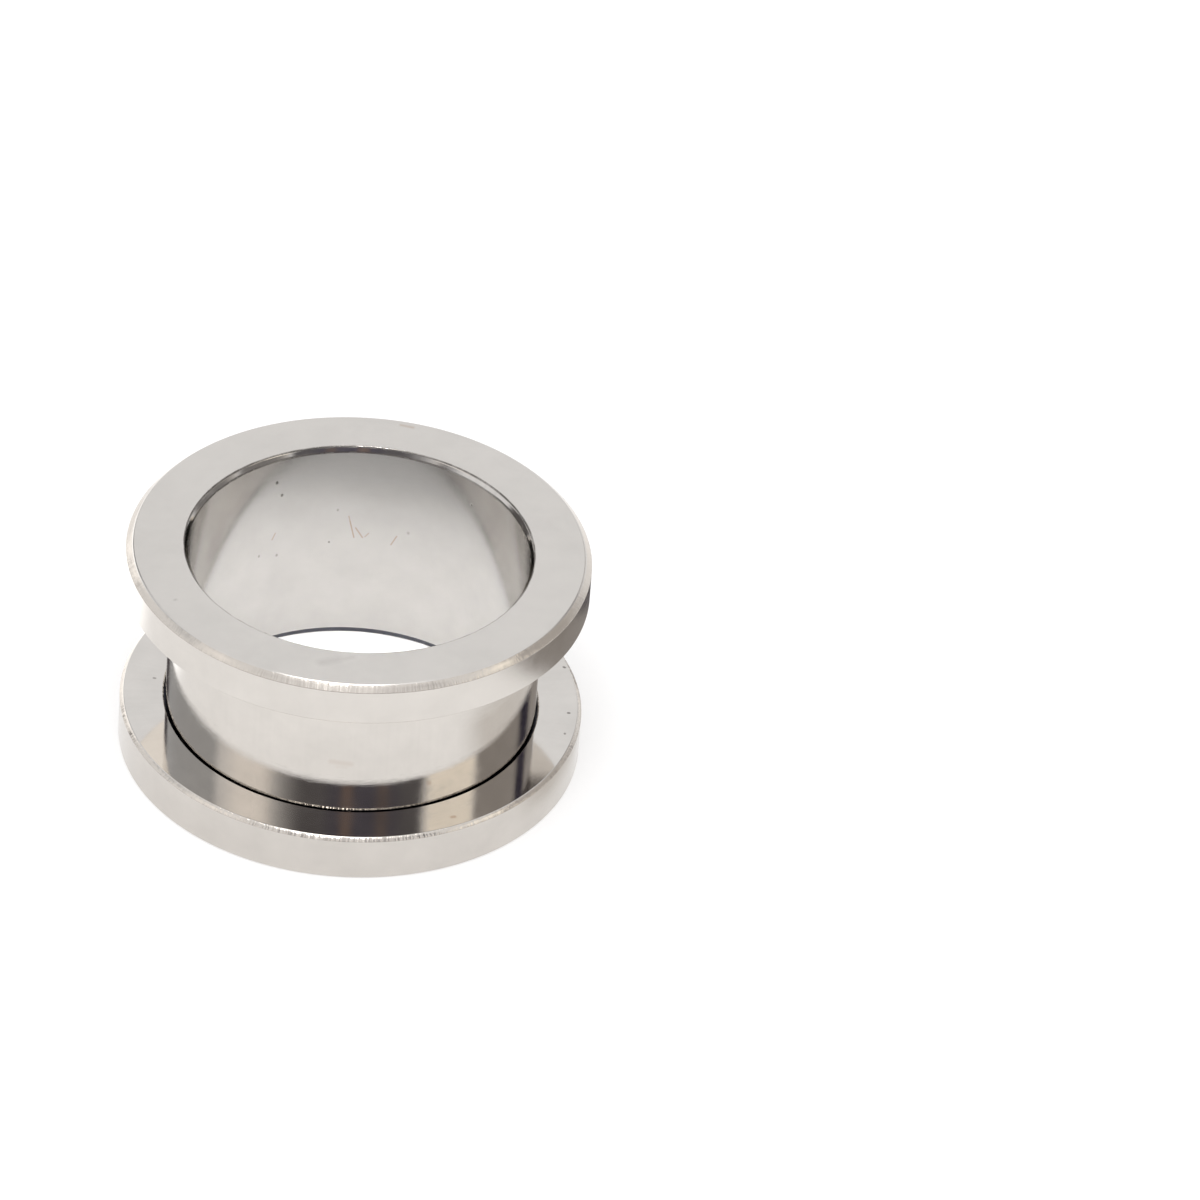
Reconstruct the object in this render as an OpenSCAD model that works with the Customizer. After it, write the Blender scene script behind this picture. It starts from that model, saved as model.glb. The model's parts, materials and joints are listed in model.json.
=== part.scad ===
// Screw-fit ear tunnel: an open tube with a fixed front flange and a screw-on back flange.
// The tube stands on its back flange, with its axis along Z and its foot at Z = 0.

/* [Barrel] */
// Outer diameter of the barrel that goes through the lobe, a little under its gauge
barrel_d = 15.8; // [8:0.1:30]
// Wall of the barrel, between the bore and the outside
barrel_wall = 0.7; // [0.7:0.05:1.6]
// Wearing length: the room for the lobe between the two flanges
wearing_l = 6; // [4:0.5:16]

/* [Front flange] */
// How far the fixed front flange stands out past the barrel
front_lip = 1.9; // [1:0.05:4]
// Thickness of the front flange
front_t = 1.85; // [1:0.05:4]

/* [Screw-on back] */
// How far the back flange stands out past the barrel
back_lip = 1.95; // [1:0.05:4]
// Thickness of the back flange
back_t = 2.05; // [1.6:0.05:4]
// Depth of the recess that the foot of the barrel sinks into
recess_depth = 0.45; // [0.4:0.05:0.6]
// Radial gap between the barrel and the wall of the recess
recess_gap = 0.08; // [0.05:0.01:0.2]
// Bevel around the mouth of the recess
recess_bevel = 0.05; // [0.03:0.01:0.2]

/* [Thread] */
// Step from the barrel down to the crests of its thread
shoulder = 0.25; // [0.2:0.05:0.25]
// Distance from one turn of the thread to the next
thread_pitch = 0.4; // [0.3:0.05:0.5]
// Depth of the thread grooves
thread_depth = 0.15; // [0.1:0.05:0.2]
// Radial clearance between the crests of the male and the female thread
thread_gap = 0.05; // [0.02:0.01:0.1]

/* [Edges] */
// Bevel on the upper rim of the front flange
front_bevel = 0.28; // [0.1:0.02:0.4]
// Bevel on the upper rim of the back flange
back_bevel = 0.16; // [0.1:0.02:0.4]
// Small break on the lower rims of both flanges
small_break = 0.06; // [0.02:0.02:0.2]
// How far the steep bevel at the upper mouth of the bore reaches out across the face
mouth_out = 0.18; // [0.1:0.02:0.24]
// How far that bevel reaches into the bore
mouth_in = 0.25; // [0.15:0.05:0.4]
// How far the steeper bevel at the foot of the bore reaches out
foot_out = 0.12; // [0.1:0.02:0.24]
// How far the bevel at the foot reaches into the bore
foot_in = 0.28; // [0.16:0.02:0.4]
// How far the foot of the barrel stays above the surface that the back flange stands on
foot_clear = 0.05; // [0.02:0.01:0.1]

/* [Hidden] */
$fn = 180;

// Radii, from the bore outwards
barrel_r = barrel_d / 2;
bore_r = barrel_r - barrel_wall;
screw_r = barrel_r - shoulder;
hole_r = screw_r + thread_gap;
recess_r = barrel_r + recess_gap;
front_r = barrel_r + front_lip;
back_r = barrel_r + back_lip;

// Heights, from the foot upwards
recess_z = back_t - recess_depth;
shoulder_z = recess_z + thread_gap;
front_z = back_t + wearing_l;
top_z = front_z + front_t;

// The V grooves have flanks at 60 degrees to each other
groove_half = thread_depth * tan(30);
// The thread starts above the end bevel and stops below the recess
thread_low = foot_clear + thread_depth;
turns = floor((recess_z - thread_low) / thread_pitch);

// Outline of the thread, going up from its lowest turn.
// crest is the radius of the lands and root the radius at the bottom of the grooves.
function thread_outline(crest, root) = [
    for (turn = [0 : turns - 1])
        let (z = thread_low + (turn + 0.5) * thread_pitch)
        each [[crest, z - groove_half], [root, z], [crest, z + groove_half]]
];

function reversed(points) = [for (i = [len(points) - 1 : -1 : 0]) points[i]];

// Tube with the fixed front flange, turned from one bar, with the male thread at its foot
module tunnel_barrel() {
    foot = [
        [bore_r, foot_clear + foot_in],
        [bore_r + foot_out, foot_clear],
        [screw_r - thread_depth, foot_clear],
        [screw_r, thread_low]
    ];
    shaft = [
        [screw_r, shoulder_z],
        [barrel_r, shoulder_z + shoulder],
        [barrel_r, front_z]
    ];
    flange = [
        [front_r - small_break, front_z],
        [front_r, front_z + small_break],
        [front_r, top_z - front_bevel],
        [front_r - front_bevel, top_z]
    ];
    mouth = [
        [bore_r + mouth_out, top_z],
        [bore_r, top_z - mouth_in]
    ];
    male_thread = thread_outline(screw_r, screw_r - thread_depth);
    color([0.84, 0.83, 0.81])
        rotate_extrude()
            polygon(concat(foot, male_thread, shaft, flange, mouth));
}

// Screw-on back flange, with the female thread in its hole and a recess above the thread
module screw_back() {
    rim = [
        [hole_r + thread_depth, 0],
        [back_r - small_break, 0],
        [back_r, small_break],
        [back_r, back_t - back_bevel],
        [back_r - back_bevel, back_t]
    ];
    recess = [
        [recess_r + recess_bevel, back_t],
        [recess_r, back_t - recess_bevel],
        [recess_r, recess_z],
        [hole_r, recess_z]
    ];
    female_thread = reversed(thread_outline(hole_r, hole_r + thread_depth));
    entry = [
        [hole_r, thread_depth]
    ];
    color([0.80, 0.79, 0.77])
        rotate_extrude()
            polygon(concat(rim, recess, female_thread, entry));
}

tunnel_barrel();
screw_back();
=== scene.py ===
# %% [markdown]
# # A screw-fit ear tunnel in polished steel
#
# An ear tunnel is a short open tube that is worn through a stretched hole in the ear lobe.
# This one is two turned pieces: a barrel with a fixed flange at its front end, and a flat
# back flange that screws onto its foot. It stands on the back flange, as if just put down.
#
# The lesson rebuilds both pieces as surfaces of revolution and gives every turned zone the
# finish that its tool leaves, and a few zones are painted darker as shade. Everything is in
# metres, in the frame of the imported model.

# %% Load the imported model as the frame
import json
import math

import bpy
import numpy as np
from mathutils import Matrix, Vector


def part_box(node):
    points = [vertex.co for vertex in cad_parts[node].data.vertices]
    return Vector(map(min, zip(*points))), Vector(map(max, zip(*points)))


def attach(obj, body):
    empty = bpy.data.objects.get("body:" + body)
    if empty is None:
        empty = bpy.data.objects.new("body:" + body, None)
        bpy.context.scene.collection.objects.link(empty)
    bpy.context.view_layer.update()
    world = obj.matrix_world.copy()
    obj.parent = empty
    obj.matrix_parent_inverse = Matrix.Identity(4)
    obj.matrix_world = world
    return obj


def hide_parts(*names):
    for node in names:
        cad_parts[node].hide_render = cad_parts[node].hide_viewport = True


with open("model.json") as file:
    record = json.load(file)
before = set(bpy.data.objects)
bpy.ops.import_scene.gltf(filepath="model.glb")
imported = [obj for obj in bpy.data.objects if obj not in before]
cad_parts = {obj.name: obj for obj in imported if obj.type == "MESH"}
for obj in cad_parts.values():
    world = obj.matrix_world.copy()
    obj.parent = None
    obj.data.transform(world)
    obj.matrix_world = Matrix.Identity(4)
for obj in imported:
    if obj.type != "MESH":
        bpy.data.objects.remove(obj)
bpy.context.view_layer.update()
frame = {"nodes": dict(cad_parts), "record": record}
print("packed nodes:", sorted(frame["nodes"]))

# %% [markdown]
# ## Sizes
#
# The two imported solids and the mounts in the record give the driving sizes: the radii of the
# bore, the barrel and both flanges, and the heights where they begin and end. Only the small
# breaks, the thread and the recess are named here, because no box or mount holds them.

# %% Read the driving sizes from the frame
MM = 0.001
mounts = {mount["name"]: mount for mount in frame["record"]["mounts"]}
barrel_low, barrel_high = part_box("tunnel_barrel")
back_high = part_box("screw_back")[1]
seat = mounts["lobe_seat"]
seat_half = seat["dims"]["length_mm"] * MM / 2

bore_r = mounts["through_bore"]["dims"]["r_mm"] * MM
barrel_r = seat["dims"]["r_mm"] * MM
front_r = barrel_high.x
back_r = back_high.x
foot_z = barrel_low.z
back_z = back_high.z
seat_low_z = seat["pos_m"][2] - seat_half
front_z = seat["pos_m"][2] + seat_half
top_z = barrel_high.z
print(f"gauge {2000 * barrel_r:.2f} mm, front flange {2000 * front_r:.2f} mm, length {1000 * top_z:.2f} mm")

# %% Name the small breaks, the recess and the thread
front_bevel = 0.28 * MM
back_bevel = 0.16 * MM
small_break = 0.06 * MM
mouth_out = 0.18 * MM
mouth_in = 0.25 * MM
foot_out = 0.12 * MM
foot_in = 0.28 * MM
shoulder = 0.25 * MM
thread_gap = 0.05 * MM
thread_depth = 0.15 * MM
thread_pitch = 0.40 * MM
recess_gap = 0.08 * MM
recess_bevel = 0.05 * MM
screw_r = barrel_r - shoulder
hole_r = screw_r + thread_gap
recess_r = barrel_r + recess_gap
recess_z = seat_low_z - shoulder - thread_gap
thread_low_z = foot_z + thread_depth
# The radii that round the corners
round_break = 0.14 * MM
turned_break = 0.03 * MM
soft_break = 0.05 * MM
fine_break = 0.012 * MM
# Steps round the axis, rows in the arc of a corner, and rows between the ends of a thread
SEGMENTS = 360
ARC_STEPS = 5
THREAD_ROWS = 72
print(f"screw {2000 * screw_r:.2f} mm, hole {2000 * hole_r:.2f} mm, recess {2000 * recess_r:.2f} mm")

# %% [markdown]
# ## Camera
#
# The picture was taken with a long lens from a little above the tunnel, and the camera was
# rolled by a few degrees. The elevation gives the direction from the tunnel back to the
# camera. The lens looks along it from a place shifted right and up, so that the tunnel
# stands left of the middle without any lens shift.

# %% Place the camera
ELEVATION = math.radians(36.266)
ROLL = math.radians(4.767)
DISTANCE = 313.83 * MM
PAN_RIGHT = 10.751 * MM
PAN_UP = 5.739 * MM
FOCAL_MM = 220.0
SENSOR_MM = 36.0


def camera_axes(elevation, roll):
    """Right, up and back of the camera as rows, where back points from the object to the camera."""
    back = np.array([0.0, -math.cos(elevation), math.sin(elevation)])
    right = np.array([1.0, 0.0, 0.0])
    up = np.cross(back, right)
    rolled_right = math.cos(roll) * right + math.sin(roll) * up
    rolled_up = math.cos(roll) * up - math.sin(roll) * right
    return np.array([rolled_right, rolled_up, back])


def make_camera():
    """A camera whose matrix has its axes as columns, and its place as the last column."""
    axes = camera_axes(ELEVATION, ROLL)
    matrix = np.eye(4)
    matrix[:3, :3] = axes.T
    matrix[:3, 3] = axes.T @ np.array([PAN_RIGHT, PAN_UP, DISTANCE])
    data = bpy.data.cameras.new("photo_camera")
    data.lens = FOCAL_MM
    data.sensor_width = SENSOR_MM
    data.clip_start = 0.01
    data.clip_end = 10.0
    made = bpy.data.objects.new("photo_camera", data)
    made.matrix_world = Matrix(matrix.tolist())
    bpy.context.scene.collection.objects.link(made)
    bpy.context.scene.camera = made
    return made


camera = make_camera()
print("camera at", [round(float(x) / MM, 1) for x in camera.location], "mm")

# %% [markdown]
# ## Node helpers
#
# Materials are small node trees. `add_node` makes a node, sets its options, and fills each
# named input with a value or a link. `new_group` makes a shader node group with named inputs
# and outputs, so that one effect serves many finishes.

# %% Helpers that wire nodes
NUMBER = "NodeSocketFloat"
VECTOR = "NodeSocketVector"
NODE_COLUMNS = 12
NODE_WIDTH = 190
NODE_HEIGHT = 260


def add_node(tree, kind, inputs=None, **options):
    """One node in the tree. A socket given as an input is linked, and anything else is its value."""
    node = tree.nodes.new(kind)
    row, column = divmod(len(tree.nodes), NODE_COLUMNS)
    node.location = (NODE_WIDTH * column, -NODE_HEIGHT * row)
    for key, value in options.items():
        setattr(node, key, value)
    for key, value in (inputs or {}).items():
        if isinstance(value, bpy.types.NodeSocket):
            tree.links.new(value, node.inputs[key])
        else:
            node.inputs[key].default_value = value
    return node


def calc(tree, operation, first, second=0.0, third=0.0):
    """The output of a Math node."""
    return add_node(tree, "ShaderNodeMath", {0: first, 1: second, 2: third}, operation=operation).outputs[0]


def vector_calc(tree, operation, *vectors, **named):
    """The output of a Vector Math node: a number for a length or dot product, and else a vector."""
    inputs = {**dict(enumerate(vectors)), **named}
    outputs = add_node(tree, "ShaderNodeVectorMath", inputs, operation=operation).outputs
    return outputs["Value" if operation in ("LENGTH", "DOT_PRODUCT") else "Vector"]


def ramp(tree, value, low, high, out_low=0.0, out_high=1.0):
    """A clamped straight line from (low, out_low) to (high, out_high)."""
    limits = {"Value": value, "From Min": low, "From Max": high, "To Min": out_low, "To Max": out_high}
    return add_node(tree, "ShaderNodeMapRange", limits).outputs["Result"]


def noise(tree, vector, scale, detail=2.0, roughness=0.5):
    """A noise value between 0 and 1 at a place given in millimetres."""
    settings = {"Vector": vector, "Scale": scale, "Detail": detail, "Roughness": roughness}
    return add_node(tree, "ShaderNodeTexNoise", settings).outputs["Fac"]


def new_group(name, inputs, outputs):
    """An empty shader group. inputs maps a name to its default, and outputs a name to its kind."""
    tree = bpy.data.node_groups.new(name, "ShaderNodeTree")
    for label, default in inputs.items():
        kind = VECTOR if isinstance(default, tuple) else NUMBER
        made = tree.interface.new_socket(name=label, in_out="INPUT", socket_type=kind)
        made.default_value = default
    for label, kind in outputs.items():
        tree.interface.new_socket(name=label, in_out="OUTPUT", socket_type=kind)
    start = tree.nodes.new("NodeGroupInput")
    end = tree.nodes.new("NodeGroupOutput")
    end.location = (NODE_WIDTH * (NODE_COLUMNS + 1), 0)
    return tree, start.outputs, end.inputs


def use_group(tree, group, inputs=None):
    """The outputs of a group placed in a material."""
    return add_node(tree, "ShaderNodeGroup", inputs, node_tree=group).outputs


# %% [markdown]
# ## Lathe coordinates
#
# Every mark on a turned piece follows the lathe: tool lines run round the axis, and chatter
# repeats along the way round. This group reads Object coordinates and gives, in millimetres,
# the plain place with its radius and height, a place squeezed so that noise stretches into
# lines round the axis, and a place on a circle, where noise repeats along the way round.
# None of them has a seam, because no angle is ever unwrapped.

# %% Group with the lathe coordinates
# Not 1, because on a 45 degree bevel the radius and the height would then cancel out
HEIGHT_SHARE = 1.37


def lathe_coordinates():
    """The place in mm, its radius and height, and two places for noise that follows the lathe.

    Line Place is (X / Stretch, Y / Stretch, radius + HEIGHT_SHARE times height), which changes
    slowly round the axis and quickly across the turned surface. Around Place is the direction
    away from the axis, (X, Y) over the radius, times Around Scale.
    """
    places = {"Place": VECTOR, "Line Place": VECTOR, "Around Place": VECTOR}
    measures = {"Radius": NUMBER, "Height": NUMBER}
    tree, given, out = new_group(
        "lathe_coordinates", {"Stretch": 30.0, "Around Scale": 20.0}, {**places, **measures}
    )
    place = add_node(tree, "ShaderNodeTexCoord").outputs["Object"]
    in_mm = vector_calc(tree, "SCALE", place, Scale=1 / MM)
    parts = add_node(tree, "ShaderNodeSeparateXYZ", {0: in_mm}).outputs
    flat = add_node(tree, "ShaderNodeCombineXYZ", {"X": parts["X"], "Y": parts["Y"]}).outputs[0]
    radius = vector_calc(tree, "LENGTH", flat)
    across = calc(tree, "ADD", radius, calc(tree, "MULTIPLY", parts["Z"], HEIGHT_SHARE))
    squeezed = vector_calc(tree, "SCALE", flat, Scale=calc(tree, "DIVIDE", 1.0, given["Stretch"]))
    lined = add_node(tree, "ShaderNodeSeparateXYZ", {0: squeezed}).outputs
    line_place = add_node(tree, "ShaderNodeCombineXYZ", {"X": lined["X"], "Y": lined["Y"], "Z": across})
    around = vector_calc(tree, "NORMALIZE", flat)
    around_place = vector_calc(tree, "SCALE", around, Scale=given["Around Scale"])
    tree.links.new(in_mm, out["Place"])
    tree.links.new(radius, out["Radius"])
    tree.links.new(parts["Z"], out["Height"])
    tree.links.new(line_place.outputs[0], out["Line Place"])
    tree.links.new(around_place, out["Around Place"])
    return tree


LATHE = lathe_coordinates()
print("group:", LATHE.name, [socket.name for socket in LATHE.interface.items_tree])

# %% [markdown]
# ## Marks that several finishes share
#
# Turning lines are the very fine rings that the tool leaves, uneven in depth. Handling marks
# are the cloudy wipe marks and tiny pits that any handled polished steel has. They could be
# painted, but noise that follows the lathe stays sharp at any distance. Each group puts out
# masks and heights only, and the finish decides what to do with them.

# %% Group for the turning lines
def turning_lines():
    """Fine rings round the axis. Their height is (fine noise less 0.5) times a wandering depth.

    The depth is 1 plus or minus the unevenness, as a broader noise has it.
    """
    tree, given, out = new_group(
        "turning_lines", {"Lines Per mm": 14.0, "Unevenness": 0.5, "Stretch": 40.0}, {"Height": NUMBER}
    )
    lathe = use_group(tree, LATHE, {"Stretch": given["Stretch"]})
    fine = noise(tree, lathe["Line Place"], given["Lines Per mm"], detail=3.0, roughness=0.7)
    broad = noise(tree, lathe["Line Place"], 1.7, detail=1.0)
    depth = calc(tree, "MULTIPLY_ADD", ramp(tree, broad, 0.35, 0.65, -1.0, 1.0), given["Unevenness"], 1.0)
    centred = calc(tree, "SUBTRACT", fine, 0.5)
    tree.links.new(calc(tree, "MULTIPLY", centred, depth), out["Height"])
    return tree


TURNING = turning_lines()
print("group:", TURNING.name)

# %% Group for handling marks
CELLS_PER_MM = 0.55
PITTED_SHARE = 0.30
PIT_RADIUS = 0.018
PIT_EDGE = 0.018


def handling_marks():
    """A mask of wipe clouds, which is a noise, and a mask of pits.

    A pit is a dot round the point of a cell, with its radius and edge in cells. Only the cells
    whose own random number is below PITTED_SHARE times Pits have one.
    """
    tree, given, out = new_group("handling_marks", {"Pits": 0.5}, {"Cloud": NUMBER, "Pits": NUMBER})
    place = use_group(tree, LATHE)["Place"]
    settings = {"Vector": place, "Scale": CELLS_PER_MM, "Randomness": 1.0}
    cells = add_node(tree, "ShaderNodeTexVoronoi", settings).outputs
    chosen = add_node(tree, "ShaderNodeSeparateColor", {0: cells["Color"]}).outputs["Red"]
    few = calc(tree, "LESS_THAN", chosen, calc(tree, "MULTIPLY", given["Pits"], PITTED_SHARE))
    dot = ramp(tree, cells["Distance"], PIT_RADIUS, PIT_RADIUS + PIT_EDGE, 1.0, 0.0)
    tree.links.new(noise(tree, place, CELLS_PER_MM, detail=4.0, roughness=0.6), out["Cloud"])
    tree.links.new(calc(tree, "MULTIPLY", few, dot), out["Pits"])
    return tree


HANDLING = handling_marks()
print("group:", HANDLING.name)

# %% [markdown]
# ## Chatter on the bevels
#
# A bevel is cut with a tool that stands square to it and shivers a little. It leaves short
# facets side by side, each tipped by a hair, so the bevel glints in a broken line. As real
# geometry that would take thousands of tiny faces, so a height for the bump does it.

# %% Group for the chatter on bevels
ROOT_HALF = math.sqrt(0.5)


def bevel_chatter():
    """Short facets round a bevel, tipped by a small angle, and a crown along its upper edge.

    The way down a 45 degree slope is (radius - side * height) / sqrt(2), counted from the
    bevel's middle. A facet's height is that way times its own slope. The crown's height is
    the square of the way above the middle, and both are uneven round the bevel.
    """
    tree, given, out = new_group(
        "bevel_chatter",
        {"Marks Around": 60.0, "Side": 1.0, "Middle": 0.0, "Facet": 0.0, "Crown": 0.0},
        {"Height": NUMBER},
    )
    lathe = use_group(tree, LATHE, {"Around Scale": given["Marks Around"]})
    slope = calc(tree, "SUBTRACT", lathe["Radius"], calc(tree, "MULTIPLY", lathe["Height"], given["Side"]))
    way = calc(tree, "SUBTRACT", calc(tree, "MULTIPLY", slope, ROOT_HALF), given["Middle"])
    above = calc(tree, "MINIMUM", way, 0.0)
    uneven = ramp(tree, noise(tree, lathe["Around Place"], 0.35, detail=3.0), 0.40, 0.60, 0.25, 1.0)
    facet = ramp(tree, noise(tree, lathe["Around Place"], 1.0, detail=1.0), 0.42, 0.62, -0.7, 1.0)
    crown = calc(tree, "MULTIPLY", calc(tree, "MULTIPLY", above, above), given["Crown"])
    tipped = calc(tree, "MULTIPLY", calc(tree, "MULTIPLY", way, facet), given["Facet"])
    height = calc(tree, "SUBTRACT", tipped, calc(tree, "MULTIPLY", crown, uneven))
    tree.links.new(height, out["Height"])
    return tree


CHATTER = bevel_chatter()
print("group:", CHATTER.name)

# %% [markdown]
# ## Marks at known places
#
# A few marks on this tunnel are clear enough to have a place of their own: specks, rust hairs
# and a stain. Each is a short straight line with a soft edge, and a speck is a very short
# one. Two thin dark rings of painted shade lie where the bevel of the bore's mouth begins and ends.

# %% Groups for marks at known places
def line_distance():
    """Distance from a place to a short straight line: the offset less its share along the line."""
    tree, given, out = new_group(
        "line_distance",
        {"Place": (0.0, 0.0, 0.0), "From": (0.0, 0.0, 0.0), "To": (0.0, 0.0, 1.0)},
        {"Distance": NUMBER},
    )
    offset = vector_calc(tree, "SUBTRACT", given["Place"], given["From"])
    way = vector_calc(tree, "SUBTRACT", given["To"], given["From"])
    reach = vector_calc(tree, "DOT_PRODUCT", offset, way)
    length = vector_calc(tree, "DOT_PRODUCT", way, way)
    share = calc(tree, "MAXIMUM", calc(tree, "MINIMUM", calc(tree, "DIVIDE", reach, length), 1.0), 0.0)
    rest = vector_calc(tree, "SUBTRACT", offset, vector_calc(tree, "SCALE", way, Scale=share))
    tree.links.new(vector_calc(tree, "LENGTH", rest), out["Distance"])
    return tree


LINE_DISTANCE = line_distance()


def give_masks(tree, out, masks):
    """The tree with its masks linked. An unused mask is a plain 0, so an Add node carries each."""
    for name, value in masks.items():
        tree.links.new(calc(tree, "ADD", value, 0.0), out[name])
    return tree


def known_marks(name, marks):
    """A group with the masks Dirt and Rust. A mark is (mask, from, to, half width, edge, strength) in mm."""
    tree, _, out = new_group(name, {}, {"Dirt": NUMBER, "Rust": NUMBER})
    place = use_group(tree, LATHE)["Place"]
    masks = {"Dirt": 0.0, "Rust": 0.0}
    for mask, start, end, half_width, edge, strength in marks:
        gap = use_group(tree, LINE_DISTANCE, {"Place": place, "From": start, "To": end})["Distance"]
        mark = ramp(tree, gap, half_width, half_width + edge, strength, 0.0)
        masks[mask] = calc(tree, "MAXIMUM", masks[mask], mark)
    return give_masks(tree, out, masks)


# %% Group for thin rings of painted shade
def shade_rings(name, rings):
    """A group whose first mask holds thin rings of painted shade at given heights. A ring is (height, half
    width, edge, strength) in mm.

    A noise round the axis weakens the strength to between 0.45 and 1 times its value.
    """
    tree, _, out = new_group(name, {}, {"Dirt": NUMBER, "Rust": NUMBER})
    lathe = use_group(tree, LATHE, {"Around Scale": 12.0})
    uneven = ramp(tree, noise(tree, lathe["Around Place"], 1.0, detail=3.0), 0.35, 0.60, 0.45, 1.0)
    darkening = 0.0
    for middle, half_width, edge, strength in rings:
        gap = calc(tree, "ABSOLUTE", calc(tree, "SUBTRACT", lathe["Height"], middle))
        darkening = calc(tree, "MAXIMUM", darkening, ramp(tree, gap, half_width, half_width + edge, strength, 0.0))
    return give_masks(tree, out, {"Dirt": calc(tree, "MULTIPLY", darkening, uneven), "Rust": 0.0})


# %% Place the marks
face = top_z / MM
ledge = back_z / MM
# Painted shade: two thin dark rings where the bevel of the mouth meets the face and the wall
MOUTH_SHADE = shade_rings("mouth_marks", [
    (face - 0.020, 0.022, 0.030, 1.00),
    (face - mouth_in / MM + 0.018, 0.014, 0.030, 0.85),
])
BORE_MARKS = known_marks("bore_marks", [
    ("Dirt", (-3.94, 6.03, 8.59), (-3.94, 6.03, 8.53), 0.035, 0.04, 1.0),
    ("Dirt", (-3.71, 6.17, 7.85), (-3.71, 6.17, 7.81), 0.030, 0.04, 1.0),
    ("Dirt", (4.44, 5.67, 8.51), (4.44, 5.67, 8.47), 0.025, 0.04, 0.8),
    ("Dirt", (-1.33, 7.08, 6.66), (-1.33, 7.08, 6.62), 0.020, 0.05, 0.35),
    ("Dirt", (1.76, 6.98, 5.81), (1.76, 6.98, 5.77), 0.020, 0.07, 0.30),
    ("Dirt", (-4.54, 5.59, 4.93), (-4.54, 5.59, 4.89), 0.020, 0.05, 0.45),
    ("Dirt", (-3.81, 6.11, 4.69), (-3.81, 6.11, 4.65), 0.025, 0.05, 0.45),
    ("Rust", (-0.84, 7.15, 6.30), (-0.78, 7.16, 6.04), 0.012, 0.030, 0.40),
    ("Rust", (-0.78, 7.16, 6.04), (-0.58, 7.18, 5.19), 0.012, 0.030, 0.62),
    ("Rust", (-0.52, 7.18, 5.69), (-0.21, 7.20, 5.20), 0.015, 0.035, 0.50),
    ("Rust", (0.05, 7.20, 5.45), (-0.10, 7.20, 5.25), 0.012, 0.030, 0.40),
    ("Rust", (1.27, 7.09, 5.49), (1.04, 7.13, 4.99), 0.012, 0.030, 0.54),
    ("Rust", (-3.91, 6.04, 5.87), (-4.03, 5.96, 5.57), 0.012, 0.030, 0.50),
])
BARREL_MARKS = known_marks("barrel_marks", [
    ("Rust", (-0.35, -7.99, 4.55), (0.50, -7.98, 4.48), 0.02, 0.18, 0.22),
    ("Rust", (-0.10, -8.00, 4.30), (0.30, -7.99, 4.30), 0.02, 0.12, 0.18),
])
FACE_MARKS = known_marks("face_marks", [
    ("Dirt", (-0.92, -8.24, face), (-0.30, -7.95, face), 0.05, 0.30, 0.12),
    ("Dirt", (-0.30, -7.95, face), (0.27, -7.72, face), 0.02, 0.22, 0.08),
    ("Dirt", (-8.87, 4.39, face), (-8.84, 4.42, face), 0.02, 0.08, 0.20),
    ("Dirt", (-7.33, -4.79, face), (-7.30, -4.76, face), 0.02, 0.09, 0.18),
    ("Rust", (1.10, 9.15, face), (1.60, 9.05, face), 0.02, 0.12, 0.30),
])
BACK_MARKS = known_marks("back_marks", [
    ("Dirt", (8.93, 3.31, ledge), (8.97, 3.28, ledge), 0.035, 0.04, 0.9),
    ("Dirt", (9.29, 0.08, ledge), (9.33, 0.08, ledge), 0.035, 0.04, 0.9),
    ("Dirt", (9.22, -1.41, ledge), (9.22, -1.37, ledge), 0.025, 0.04, 0.7),
    ("Dirt", (-8.44, 0.11, ledge), (-8.40, 0.10, ledge), 0.035, 0.05, 0.6),
    ("Rust", (4.83, -7.76, ledge), (4.93, -7.72, ledge), 0.03, 0.10, 0.5),
])
print("groups:", [group.name for group in bpy.data.node_groups])

# %% [markdown]
# ## Finishes
#
# All of the tunnel is one steel, a slightly warm grey. What differs from zone to zone is mostly
# how smooth the last tool left it, and a few zones are darker as painted shade: the rim of the
# back flange, the nearly black bands in the gaps, and two thin rings on the mouth of the bore.
# One function builds every finish from the same parts, so the values in each call can be read
# against each other.

# %% Function that builds a steel finish
STEEL = (0.655, 0.622, 0.583, 1.0)
# Colour of specks and stains, also used for the thin rings of painted shade on the bore's mouth
STAIN_AND_SHADE = (0.200, 0.185, 0.170, 1.0)
RUST = (0.410, 0.265, 0.170, 1.0)
STEEL_IOR = 2.5
LEAST_ROUGHNESS = 0.02
DARKENING_ROUGHNESS = 0.25
DARKENING_DEPTH = 3.0
STREAKS_AROUND = 34.0
CLOUD_RANGE = (0.3, 0.7)
MICROMETRE = 1e-6


def mix_colour(tree, mask, first, second):
    """The first colour where the mask is 0 and the second where it is 1."""
    inputs = {"Factor": mask, "A": first, "B": second}
    return add_node(tree, "ShaderNodeMix", inputs, data_type="RGBA").outputs["Result"]


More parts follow.
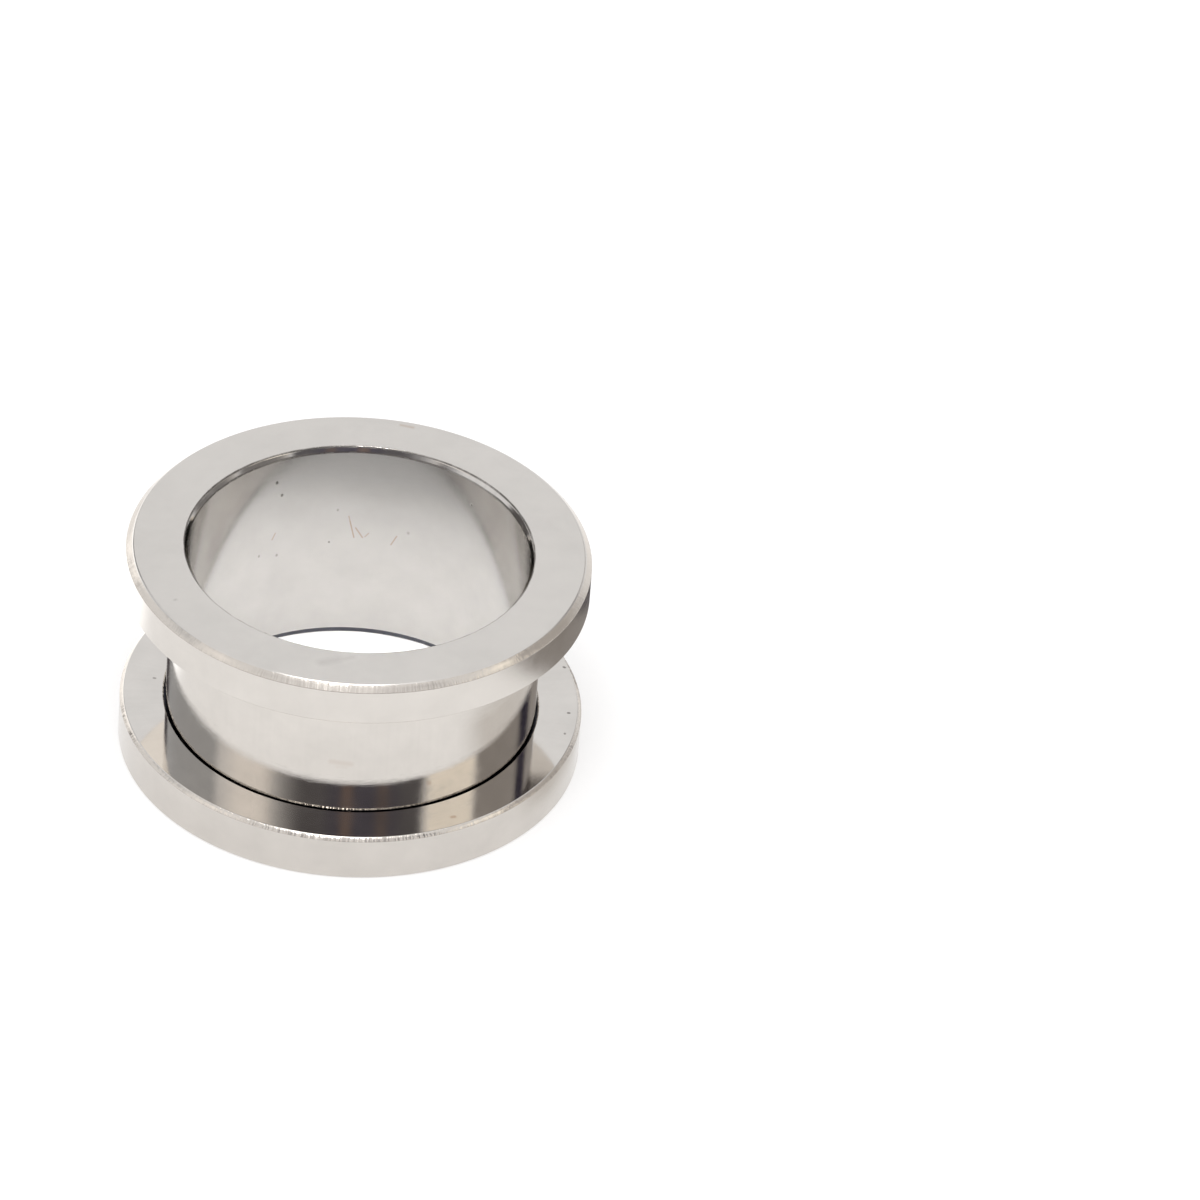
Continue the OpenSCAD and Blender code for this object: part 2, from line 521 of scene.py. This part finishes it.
def steel_finish(name, roughness, cloud_spread, line_height, lines_per_mm, pits=0.0, tint=STEEL,
                 tone_spread=0.04, streaks=0.0, streak_tone=0.0, chatter=None, known=None):
    """Metal whose roughness wanders by cloud_spread. Heights are in micrometres.

    streaks and streak_tone give the height and the share of tone of the wipe marks that run
    square to the turning lines. chatter is (facet slope, crown, marks around, side, middle)
    for a bevel, in micrometres and mm, and known is a group of marks at known places, which
    for the bore's mouth are thin rings of painted shade.
    """
    material = bpy.data.materials.new(name)
    material.use_nodes = True
    tree = material.node_tree
    tree.nodes.clear()
    end = tree.nodes.new("ShaderNodeOutputMaterial")
    end.location = (NODE_WIDTH * (NODE_COLUMNS + 2), 0)
    marks = use_group(tree, HANDLING, {"Pits": pits})
    lines = use_group(tree, TURNING, {"Lines Per mm": lines_per_mm})
    around = use_group(tree, LATHE, {"Around Scale": STREAKS_AROUND})["Around Place"]
    streak = calc(tree, "SUBTRACT", noise(tree, around, 1.0, detail=4.0, roughness=0.65), 0.5)

    tone = ramp(tree, marks["Cloud"], *CLOUD_RANGE, 1.0 - tone_spread, 1.0 + tone_spread)
    tone = calc(tree, "MULTIPLY", tone, calc(tree, "MULTIPLY_ADD", streak, streak_tone, 1.0))
    toned = vector_calc(tree, "SCALE", tint[:3], Scale=tone)
    # The darkening holds the pits and the placed specks, and on the bore's mouth the rings of painted shade
    darkening = marks["Pits"]
    if known:
        placed = use_group(tree, known)
        darkening = calc(tree, "MAXIMUM", darkening, placed["Dirt"])
        toned = mix_colour(tree, placed["Rust"], toned, RUST)
    colour = mix_colour(tree, darkening, toned, STAIN_AND_SHADE)

    cloudy = ramp(tree, marks["Cloud"], *CLOUD_RANGE, roughness - cloud_spread, roughness + cloud_spread)
    roughened = calc(tree, "MULTIPLY_ADD", darkening, DARKENING_ROUGHNESS, cloudy)
    rough = calc(tree, "MAXIMUM", roughened, LEAST_ROUGHNESS)

    height = calc(tree, "MULTIPLY", lines["Height"], line_height)
    height = calc(tree, "MULTIPLY_ADD", streak, streaks, height)
    if chatter:
        facet, crown, marks_around, side, middle = chatter
        settings = {"Facet": facet, "Crown": crown, "Marks Around": marks_around}
        facets = use_group(tree, CHATTER, {**settings, "Side": side, "Middle": middle})
        height = calc(tree, "ADD", height, facets["Height"])
    height = calc(tree, "MULTIPLY_ADD", darkening, -DARKENING_DEPTH, height)
    bump = add_node(tree, "ShaderNodeBump", {"Strength": 1.0, "Distance": MICROMETRE, "Height": height})

    shader = add_node(tree, "ShaderNodeBsdfPrincipled", {"Metallic": 1.0, "IOR": STEEL_IOR})
    tree.links.new(colour, shader.inputs["Base Color"])
    tree.links.new(rough, shader.inputs["Roughness"])
    tree.links.new(bump.outputs["Normal"], shader.inputs["Normal"])
    tree.links.new(shader.outputs["BSDF"], end.inputs["Surface"])
    return material


# %% Measure the middles of the bevels
def bevel_middle(radius, height, side):
    """The way down a 45 degree slope at the middle of a bevel, in millimetres."""
    return ROOT_HALF * (radius - side * height) / MM


front_middle = bevel_middle(front_r - front_bevel / 2, top_z - front_bevel / 2, 1)
back_middle = bevel_middle(back_r - back_bevel / 2, back_z - back_bevel / 2, 1)
recess_middle = bevel_middle(recess_r + recess_bevel / 2, back_z - recess_bevel / 2, -1)
print(f"middles: front {front_middle:.3f}, back {back_middle:.3f}, recess {recess_middle:.3f} mm")

# %% Build the finishes
# After the name: roughness and its spread, height of the turning lines, and lines per mm
# Nearly black steel, which paints the shade in the gaps and under the foot of the bore
SHADE_BLACK = (0.075, 0.075, 0.09, 1.0)
# A darker steel. On the rim of the back flange it is painted shade
DARKER_STEEL = (0.625, 0.592, 0.555, 1.0)
WARM = (0.645, 0.595, 0.540, 1.0)
BORE = (0.603, 0.580, 0.554, 1.0)
made_finishes = [
    steel_finish("satin_face", 0.20, 0.06, 0.6, 16.0, pits=0.2, streaks=0.4, known=FACE_MARKS),
    steel_finish("satin_rim", 0.16, 0.05, 0.5, 14.0, pits=0.2, streaks=0.6),
    # The rim of the back flange is darker as painted shade of the contact shadow on the floor that it
    # mirrors
    steel_finish("back_rim", 0.16, 0.05, 0.5, 14.0, pits=0.3, tint=DARKER_STEEL, streaks=0.6),
    steel_finish("mirror_barrel", 0.075, 0.02, 1.6, 26.0, pits=0.15, streaks=0.2, streak_tone=0.05,
                 known=BARREL_MARKS),
    steel_finish("mirror_face", 0.055, 0.02, 0.3, 26.0, pits=0.3),
    steel_finish("back_face", 0.06, 0.02, 0.3, 26.0, pits=0.8, streaks=0.2, streak_tone=0.05,
                 known=BACK_MARKS),
    steel_finish("bore_wall", 0.14, 0.04, 0.4, 12.0, pits=0.8, tint=BORE, streaks=1.2, known=BORE_MARKS),
    steel_finish("bore_bevel", 0.08, 0.03, 0.2, 20.0, tint=DARKER_STEEL, streaks=0.8, streak_tone=0.3,
                 known=MOUTH_SHADE),
    steel_finish("outer_bevel", 0.17, 0.05, 0.5, 20.0, tint=WARM,
                 chatter=(15.0, 200.0, 150.0, 1.0, front_middle)),
    steel_finish("back_bevel", 0.15, 0.05, 0.5, 20.0, tint=WARM,
                 chatter=(40.0, 1000.0, 150.0, 1.0, back_middle)),
    steel_finish("recess_bevel", 0.12, 0.04, 0.5, 20.0, chatter=(190.0, 0.0, 140.0, -1.0, recess_middle)),
    steel_finish("small_bevel", 0.17, 0.05, 0.5, 20.0, tint=WARM),
    # Painted shade: nearly black steel for the gap between the pieces and the foot of the bore
    steel_finish("dark_edge", 0.40, 0.05, 0.5, 20.0, tint=SHADE_BLACK),
    steel_finish("thread", 0.25, 0.05, 0.3, 20.0, tone_spread=0.10),
]
FINISHES = {finish.name: finish for finish in made_finishes}
FINISH_NAMES = list(FINISHES)
print("finishes:", FINISH_NAMES)

# %% [markdown]
# ## The outline and the lathe
#
# A turned piece is an outline carried round an axis. The outline is a short table of
# corners, counterclockwise in the half plane of radius and height, with the metal on the
# left. Each corner is rounded by an arc, because no real edge is perfectly sharp and that
# thin arc is what catches the light. The arcs give exact normals, so the long flat bands
# stay flat and the breaks stay crisp.

# %% Round the corners of an outline
def rounded_outline(corners, breaks):
    """Points and normals of a closed outline whose corners are arcs.

    A corner's outward normal turns from that of the side before it to that of the side after
    it. The arc starts before the corner by break times the tangent of half the turn, and its
    points lie at one break from its centre, along the turning normal. At a corner that turns
    inward the centre lies on the other side. Results have shape (corner, step, 2).
    """
    after = np.roll(corners, -1, axis=0) - corners
    after /= np.linalg.norm(after, axis=1, keepdims=True)
    before = np.roll(after, 1, axis=0)
    angle_before = np.arctan2(-before[:, 0], before[:, 1])
    angle_after = np.arctan2(-after[:, 0], after[:, 1])
    turn = (angle_after - angle_before + np.pi) % (2 * np.pi) - np.pi
    side = np.sign(turn)
    start = corners - before * (breaks * np.abs(np.tan(turn / 2)))[:, None]
    normal_before = np.stack([np.cos(angle_before), np.sin(angle_before)], axis=1)
    centre = start - (side * breaks)[:, None] * normal_before
    step = np.linspace(0.0, 1.0, ARC_STEPS)
    angle = angle_before[:, None] + turn[:, None] * step
    normals = np.stack([np.cos(angle), np.sin(angle)], axis=2)
    points = centre[:, None] + (side * breaks)[:, None, None] * normals
    return points, normals


# %% Turn an outline into a grid of rows
def outline_rows(table):
    """Rows of the lathe surface, from a table of (radius, height, break, finish of the next band).

    Each corner gives the rows of its arc. A band of thread gets further rows, evenly spaced
    along it, because its groove needs them. Returns the points, the normals and, for each
    row, the finish of the band that starts there.
    """
    corners = np.array([row[:2] for row in table])
    points, normals = rounded_outline(corners, np.array([row[2] for row in table]))
    all_points, all_normals, bands = [], [], []
    for index, row in enumerate(table):
        finish = row[3]
        all_points.append(points[index])
        all_normals.append(normals[index])
        bands += [finish] * ARC_STEPS
        if finish == "thread":
            share = np.linspace(0.0, 1.0, THREAD_ROWS + 2)[1:-1, None]
            end = points[(index + 1) % len(table), 0]
            all_points.append(points[index, -1] * (1 - share) + end * share)
            all_normals.append(np.repeat(normals[index, -1:], THREAD_ROWS, axis=0))
            bands += [finish] * THREAD_ROWS
    return np.concatenate(all_points), np.concatenate(all_normals), bands


# %% [markdown]
# ## The thread
#
# On the real tunnel a pointed tool cuts one long V groove, which climbs by one pitch a turn.
# A twisted wedge could be cut out of the ring with a boolean, but that leaves slivers. Here
# the rows of the thread are moved by the groove's depth, so the surface stays one even grid.

# %% Cut the helical groove
FLANK = math.radians(30)


def groove_depth(height, angle, low, high):
    """Depth of a V groove wound round the axis, as a share of its full depth.

    The way along the helix is height over pitch, less one for each turn. The depth falls
    straight from the middle of the groove to its sides, and fades in and out over half a
    pitch at both ends of the thread.
    """
    half_width = math.tan(FLANK) * thread_depth / thread_pitch
    along = (height / thread_pitch - angle / (2 * np.pi)) % 1.0
    valley = np.clip(1.0 - np.abs(along - 0.5) / half_width, 0.0, 1.0)
    fade_in = np.clip((height - low) / (0.5 * thread_pitch), 0.0, 1.0)
    fade_out = np.clip((high - height) / (0.5 * thread_pitch), 0.0, 1.0)
    return valley * fade_in * fade_out


print(f"thread: {(recess_z - thread_low_z) / thread_pitch:.1f} turns")


# %% Carry the rows round the axis
TINY = 1e-12


def turned_piece(name, table, thread_side):
    """A closed ring of quads: every row of the outline carried round Z.

    thread_side is -1 where the groove goes towards the axis and +1 where it goes away from
    it. Rows of thread are moved by the groove's depth, and their normals come from the cross
    product of the differences along the row and across the rows.
    """
    rows, row_normals, bands = outline_rows(table)
    angle = np.linspace(0.0, 2 * np.pi, SEGMENTS, endpoint=False)
    threaded = np.array([band == "thread" for band in bands])
    radius = np.repeat(rows[:, :1], SEGMENTS, axis=1)
    height = np.repeat(rows[:, 1:], SEGMENTS, axis=1)
    low, high = rows[threaded, 1].min(), rows[threaded, 1].max()
    groove = groove_depth(height, angle[None, :], low, high) * threaded[:, None]
    radius = radius + thread_side * thread_depth * groove
    places = np.stack([radius * np.cos(angle), radius * np.sin(angle), height], axis=2)
    normals = np.stack(
        [
            row_normals[:, :1] * np.cos(angle),
            row_normals[:, :1] * np.sin(angle),
            np.repeat(row_normals[:, 1:], SEGMENTS, axis=1),
        ],
        axis=2,
    )
    along = np.roll(places, -1, axis=1) - np.roll(places, 1, axis=1)
    across = np.roll(places, -1, axis=0) - np.roll(places, 1, axis=0)
    cut = np.cross(along, across)
    cut /= np.maximum(np.linalg.norm(cut, axis=2, keepdims=True), TINY)
    in_groove = (groove > 0)[:, :, None]
    normals = np.where(in_groove, cut, normals)
    return make_mesh_piece(name, places, normals, bands)


# %% Put the grid into a mesh
def make_mesh_piece(name, places, normals, bands):
    """A mesh object from a grid that closes both ways, with one finish for each band of quads."""
    row_count, column_count = places.shape[:2]
    index = np.arange(row_count * column_count).reshape(row_count, column_count)
    next_row = np.roll(index, -1, axis=0)
    quads = np.stack(
        [index, np.roll(index, -1, axis=1), np.roll(next_row, -1, axis=1), next_row], axis=2
    )
    mesh = bpy.data.meshes.new(name)
    mesh.from_pydata(places.reshape(-1, 3), [], quads.reshape(-1, 4))
    used = [finish for finish in FINISH_NAMES if finish in bands]
    for finish in used:
        mesh.materials.append(FINISHES[finish])
    slots = np.repeat([used.index(band) for band in bands], column_count)
    mesh.polygons.foreach_set("material_index", slots.astype(np.int32))
    mesh.polygons.foreach_set("use_smooth", np.ones(len(slots), bool))
    mesh.normals_split_custom_set_from_vertices(normals.reshape(-1, 3).tolist())
    mesh.update()
    piece = bpy.data.objects.new(name, mesh)
    bpy.context.scene.collection.objects.link(piece)
    print(f"{name}: {len(mesh.polygons)} quads, finishes {used}")
    return piece


# %% [markdown]
# ## The barrel with its front flange
#
# On the real tunnel this is one piece turned from a steel bar: bored through, the flange
# faced and bevelled, the barrel polished, and the thread cut last. The table follows the
# tool from the foot of the bore outwards, up the thread and the barrel, round the flange
# and back down the bore.

# %% Build the barrel
# The nearly black bands at the foot of the bore and at the shoulder above the thread are painted shade
barrel_table = [
    (bore_r, foot_z + foot_in, soft_break, "dark_edge"),
    (bore_r + foot_out, foot_z, fine_break, "satin_face"),
    (screw_r - thread_depth, foot_z, fine_break, "small_bevel"),
    (screw_r, thread_low_z, fine_break, "thread"),
    (screw_r, seat_low_z - shoulder, fine_break, "dark_edge"),
    (barrel_r, seat_low_z, fine_break, "mirror_barrel"),
    (barrel_r, front_z, fine_break, "mirror_face"),
    (front_r - small_break, front_z, fine_break, "small_bevel"),
    (front_r, front_z + small_break, fine_break, "satin_rim"),
    (front_r, top_z - front_bevel, turned_break, "outer_bevel"),
    (front_r - front_bevel, top_z, round_break, "satin_face"),
    (bore_r + mouth_out, top_z, soft_break, "bore_bevel"),
    (bore_r, top_z - mouth_in, soft_break, "bore_wall"),
]
barrel = turned_piece("barrel_and_front_flange", barrel_table, thread_side=-1)
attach(barrel, "barrel")
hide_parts("tunnel_barrel")

# %% [markdown]
# ## The screw-on back flange
#
# A flat ring with a female thread. A shallow recess above the thread takes in the foot of
# the barrel and hides where its thread runs out, so that only a thin black gap shows
# between the two pieces. The walls of the recess are painted nearly black as the shade in it.

# %% Build the back flange
# The walls and the floor of the recess get the nearly black finish: painted shade of the gap
back_table = [
    (hole_r + thread_depth, 0.0, fine_break, "satin_face"),
    (back_r - small_break, 0.0, fine_break, "small_bevel"),
    (back_r, small_break, fine_break, "back_rim"),
    (back_r, back_z - back_bevel, fine_break, "back_bevel"),
    (back_r - back_bevel, back_z, soft_break, "back_face"),
    (recess_r + recess_bevel, back_z, fine_break, "recess_bevel"),
    (recess_r, back_z - recess_bevel, fine_break, "dark_edge"),
    (recess_r, recess_z, fine_break, "dark_edge"),
    (hole_r, recess_z, fine_break, "thread"),
    (hole_r, thread_depth, fine_break, "small_bevel"),
]
back = turned_piece("screw_on_back_flange", back_table, thread_side=1)
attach(back, "back")
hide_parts("screw_back")

# %% [markdown]
# ## The studio
#
# Polished steel shows its surroundings, so the light is mostly what it mirrors: a white
# room, a pale floor under a soft light from the upper front, and a darker side towards
# the camera. The floor and the room come first, because everything else is set against
# them.

# %% Materials and surfaces of the studio
BLACK = (0.0, 0.0, 0.0)


def stage_paint(name, colour, glow_colour, glow):
    """Matt paint that also glows, and its shader."""
    material = bpy.data.materials.new(name)
    material.use_nodes = True
    shader = material.node_tree.nodes["Principled BSDF"]
    settings = {
        "Base Color": (*colour, 1.0),
        "Roughness": 1.0,
        "Specular IOR Level": 0.0,
        "Emission Color": (*glow_colour, 1.0),
        "Emission Strength": glow,
    }
    for key, value in settings.items():
        shader.inputs[key].default_value = value
    return material, shader


def grid_surface(name, places, material):
    """An open surface over a grid of places, for the studio."""
    row_count, column_count = places.shape[:2]
    index = np.arange(row_count * column_count).reshape(row_count, column_count)
    quads = np.stack([index[:-1, :-1], index[:-1, 1:], index[1:, 1:], index[1:, :-1]], axis=2)
    mesh = bpy.data.meshes.new(name)
    mesh.from_pydata(places.reshape(-1, 3), [], quads.reshape(-1, 4))
    mesh.materials.append(material)
    surface = bpy.data.objects.new(name, mesh)
    bpy.context.scene.collection.objects.link(surface)
    return surface


# %% Pale floor
FLOOR_HALF = 3.0
FLOOR_COLOUR = (0.565, 0.560, 0.555)
FLOOR_GLOW = 0.80
side = np.linspace(-FLOOR_HALF, FLOOR_HALF, 3)
floor_x, floor_y = np.meshgrid(side, side)
floor_places = np.stack([floor_x, floor_y, np.zeros_like(floor_x)], axis=2)
floor_paint, _ = stage_paint("pale_floor", FLOOR_COLOUR, FLOOR_COLOUR, FLOOR_GLOW)
floor = grid_surface("pale_floor", floor_places, floor_paint)
print(f"{floor.name}: {2 * FLOOR_HALF} m square")

# %% White room
world = bpy.data.worlds.new("white_room")
world.use_nodes = True
background = world.node_tree.nodes["Background"].inputs
background["Color"].default_value = (0.97, 0.98, 1.0, 1.0)
background["Strength"].default_value = 1.0
bpy.context.scene.world = world
bpy.context.scene.view_settings.view_transform = "Standard"
print("world:", world.name)

# %% [markdown]
# ## Lights
#
# A large soft disc from the upper front lights the floor and gives the tunnel its faint
# shadow. Little of it reaches the floor inside the bore, and the wall of the bore mirrors
# that floor. So a narrow beam shines down into the bore, as a small spot light could.

# %% Soft light and beam
SOFT_DIAMETER = 0.24
SOFT_RADIANCE = 5.2
BEAM_DIAMETER = 0.92 * 2 * bore_r
BEAM_WATTS = 0.00041


def toward(azimuth, elevation):
    """Unit vector for an azimuth from the camera's side, growing to its right, and an elevation."""
    turn, rise = math.radians(azimuth), math.radians(elevation)
    return np.array([math.sin(turn) * math.cos(rise), -math.cos(turn) * math.cos(rise), math.sin(rise)])


def disc_light(name, azimuth, elevation, distance, diameter, watts, aim_z=0.0):
    """A disc that faces the place (0, 0, aim_z) from a direction and a distance."""
    data = bpy.data.lights.new(name, "AREA")
    data.shape = "DISK"
    data.size = diameter
    data.energy = watts
    light = bpy.data.objects.new(name, data)
    light.location = toward(azimuth, elevation) * distance + np.array([0.0, 0.0, aim_z])
    light.rotation_euler = (math.pi / 2 - math.radians(elevation), 0.0, math.radians(azimuth))
    bpy.context.scene.collection.objects.link(light)
    return light


# The power of a disc is its radiance times its area times pi
soft_watts = SOFT_RADIANCE * math.pi * (math.pi * SOFT_DIAMETER**2 / 4)
soft = disc_light("upper_front_light", -10.0, 71.0, 0.50, SOFT_DIAMETER, soft_watts)
beam = disc_light("bore_light", -5.0, 68.0, 0.06, BEAM_DIAMETER, BEAM_WATTS, aim_z=top_z)
beam.data.spread = math.radians(5.0)
beam.data.color = (0.97, 0.99, 1.0)
beam.visible_camera = False
print(f"{soft.name}: {soft_watts:.2f} W, {beam.name}: {BEAM_WATTS} W")

# %% [markdown]
# ## Cards in the mirror
#
# In a studio, grey and white boards shape the reflections on polished metal. Here each
# board is a glowing patch of a large sphere that only reflections see, so it shades the
# steel and leaves the floor and its soft shadow alone. The bevels mirror the cards
# near the horizon. Those at the camera's own elevation are mirrored twice, by the barrel
# and the back flange, and give the dark and bright bands on both.

# %% Cards that only reflections see
CARD_RADIUS = 0.60
CARD_COLUMNS = 97
CARD_ROWS = 49


def smooth_step(value):
    """A smooth rise from 0 to 1: with the value held between 0 and 1, its square times (3 less twice it)."""
    value = np.clip(value, 0.0, 1.0)
    return value * value * (3 - 2 * value)


def soft_window(value, limits, widths):
    """1 inside the limits, falling smoothly to 0 over each width at the ends."""
    return smooth_step((value - limits[0]) / widths[0]) * smooth_step((limits[1] - value) / widths[1])


def reflection_card(name, places, cover, colour):
    """A glowing surface that only reflections see. Its attribute cover drives its Alpha."""
    material, shader = stage_paint(name, BLACK, colour, 1.0)
    fade = add_node(material.node_tree, "ShaderNodeAttribute", attribute_name="cover")
    material.node_tree.links.new(fade.outputs["Fac"], shader.inputs["Alpha"])
    card = grid_surface(name, places, material)
    layer = card.data.attributes.new("cover", "FLOAT", "POINT")
    layer.data.foreach_set("value", cover.ravel().astype(np.float32))
    card.visible_camera = False
    card.visible_diffuse = False
    card.visible_shadow = False
    card.visible_transmission = False
    print("card:", name)


def sky_card(name, azimuths, elevations, soft_sides, soft_ends, colour, radius=CARD_RADIUS):
    """A card on a sphere round the tunnel, from one azimuth and elevation to another in degrees.

    A place is the radius times (sine of azimuth times cosine of elevation, less cosine of
    azimuth times cosine of elevation, sine of elevation). soft_sides and soft_ends give the
    widths in degrees over which the left, right, low and high edges fade out.
    """
    turn = np.linspace(*azimuths, CARD_COLUMNS)[None, :]
    rise = np.linspace(*elevations, CARD_ROWS)[:, None]
    cover = soft_window(turn, azimuths, soft_sides) * soft_window(rise, elevations, soft_ends)
    turn, rise = np.radians(turn), np.radians(rise)
    places = radius * np.stack(
        [np.sin(turn) * np.cos(rise), -np.cos(turn) * np.cos(rise), np.sin(rise) + 0 * turn], axis=2
    )
    reflection_card(name, places, cover, colour)


# %% Hang the cards
# After the name: azimuths, elevations, soft sides, soft ends, colour and radius. Cards that
# overlap have radii of their own, and the one with the smaller radius is in front.
NEAR_GREY = (0.14, 0.135, 0.145)
LOW_GREY = (0.25, 0.24, 0.24)
GLOW = (1.65, 1.65, 1.65)
sky_card("near_side", (-56.0, 53.0), (8.0, 50.0), (34.0, 4.0), (8.0, 6.0), NEAR_GREY)
sky_card("near_dark", (-14.0, 42.0), (24.0, 46.0), (12.0, 14.0), (4.0, 4.0), (0.116, 0.11, 0.138), 0.58)
sky_card("warm_band_left", (-2.0, 9.0), (24.0, 46.0), (4.0, 4.0), (4.0, 4.0), (0.22, 0.17, 0.155), 0.57)
sky_card("warm_band_right", (20.0, 31.0), (24.0, 46.0), (4.0, 4.0), (4.0, 4.0), (0.17, 0.14, 0.135), 0.57)
sky_card("near_horizon", (-50.0, 92.0), (0.5, 33.0), (14.0, 8.0), (0.5, 2.0), LOW_GREY, 0.59)
sky_card("right_horizon", (86.0, 140.0), (13.5, 34.0), (8.0, 8.0), (3.0, 2.0), (0.56, 0.54, 0.52), 0.588)
sky_card("low_sides", (-132.0, 134.0), (0.5, 14.0), (10.0, 10.0), (0.5, 3.0), LOW_GREY, 0.595)
sky_card("low_left", (-128.0, -62.0), (0.5, 16.0), (5.0, 14.0), (0.5, 4.0), (0.12, 0.115, 0.115), 0.589)
sky_card("left_glow", (-158.0, -117.0), (7.0, 31.0), (8.0, 8.0), (4.0, 4.0), GLOW, 0.585)
sky_card("left_glow_low", (-165.0, -130.0), (0.5, 10.0), (8.0, 4.0), (1.0, 3.0), GLOW, 0.587)
sky_card("mouth_shade", (82.0, 118.0), (0.5, 21.0), (8.0, 10.0), (0.5, 4.0), LOW_GREY, 0.586)
sky_card("near_low", (-68.0, 0.0), (8.0, 33.5), (22.0, 10.0), (8.0, 2.0), NEAR_GREY, 0.592)
sky_card("left_bright", (-84.0, -38.0), (31.0, 44.0), (20.0, 12.0), (2.0, 4.0), (1.36, 1.33, 1.30), 0.61)
sky_card("left_grey", (-162.0, -82.0), (31.0, 43.0), (12.0, 8.0), (2.0, 3.0), (0.56, 0.58, 0.61), 0.605)
sky_card("left_gap", (-170.0, -150.0), (31.0, 43.0), (6.0, 6.0), (3.0, 3.0), (0.08, 0.07, 0.08), 0.59)
sky_card("right_cream", (53.0, 88.5), (31.0, 41.0), (3.0, 1.5), (2.0, 3.0), (1.55, 1.48, 1.34), 0.61)
sky_card("right_grey", (89.0, 174.0), (29.0, 43.0), (1.5, 5.0), (3.0, 3.0), (0.43, 0.41, 0.40), 0.605)
sky_card("right_gap", (131.0, 149.0), (29.0, 43.0), (4.0, 4.0), (3.0, 3.0), (0.04, 0.035, 0.06), 0.59)

# %% [markdown]
# ## Patches on the floor
#
# The rims, the barrel and the bore are upright, so from above they mirror the floor close
# to the tunnel. A few flat patches just above it shade or light what they see there: one
# lies inside the bore and the others outside the back flange. Only reflections see them.

# %% Shade on the floor inside the bore
PATCH_RISE = 0.04
PATCH_ROWS = 33
BRIGHT_Y = 2.5
BRIGHT_RADIUS = 1.2
SHADE_WIDTH = 14.0
LEAST_SHADE = 0.16


def floor_sector(radii, azimuths, lean=0.0, rise=PATCH_RISE):
    """Radii, azimuths and places of a flat sector at a height of rise, in mm and degrees.

    A place is the radius times (sine, less cosine) of the azimuth. Both straight sides turn
    back by the lean, in degrees, for each mm outward.
    """
    radius = np.linspace(*radii, PATCH_ROWS)[:, None]
    azimuth = np.linspace(*azimuths, CARD_COLUMNS)[None, :]
    turn = np.radians(azimuth - lean * (radius - radii[0]))
    across, away = radius * np.sin(turn), -radius * np.cos(turn)
    return radius, azimuth, np.stack([across, away, np.full_like(across, rise)], axis=2)


# The shade grows with the distance from a bright place behind the axis
_, _, bore_places = floor_sector((0.01, 7.3), (-180.0, 180.0))
gap = np.hypot(bore_places[:, :, 0], bore_places[:, :, 1] - BRIGHT_Y)
bore_cover = LEAST_SHADE + (1 - LEAST_SHADE) * smooth_step((gap - BRIGHT_RADIUS) / SHADE_WIDTH)
reflection_card("bore_shade", MM * bore_places, bore_cover, (0.44, 0.45, 0.46))


# %% Shade and glow round the tunnel
def floor_card(name, radii, azimuths, soft_ends, soft_sides, colour, **sector):
    """A patch that fades out over soft_ends, in mm, and over soft_sides, in degrees."""
    radius, azimuth, places = floor_sector(radii, azimuths, **sector)
    cover = soft_window(azimuth, azimuths, soft_sides) * soft_window(radius, radii, soft_ends)
    reflection_card(name, MM * places, cover, colour)


floor_card("right_shade", (10.0, 16.0), (52.0, 135.0), (1.2, 2.5), (20.0, 20.0), (0.74, 0.71, 0.68))
floor_card("back_glow", (10.0, 34.0), (-188.0, -90.0), (0.3, 6.0), (20.0, 14.0), (1.6, 1.6, 1.6))
floor_card("right_patch", (14.0, 24.0), (102.0, 162.0), (1.0, 2.5), (12.0, 8.0), (0.31, 0.285, 0.265),
           lean=5.6, rise=0.06)
floor_card("right_patch_end", (14.0, 24.0), (134.0, 162.0), (1.0, 2.5), (12.0, 8.0), (0.08, 0.07, 0.075),
           lean=5.6, rise=0.08)
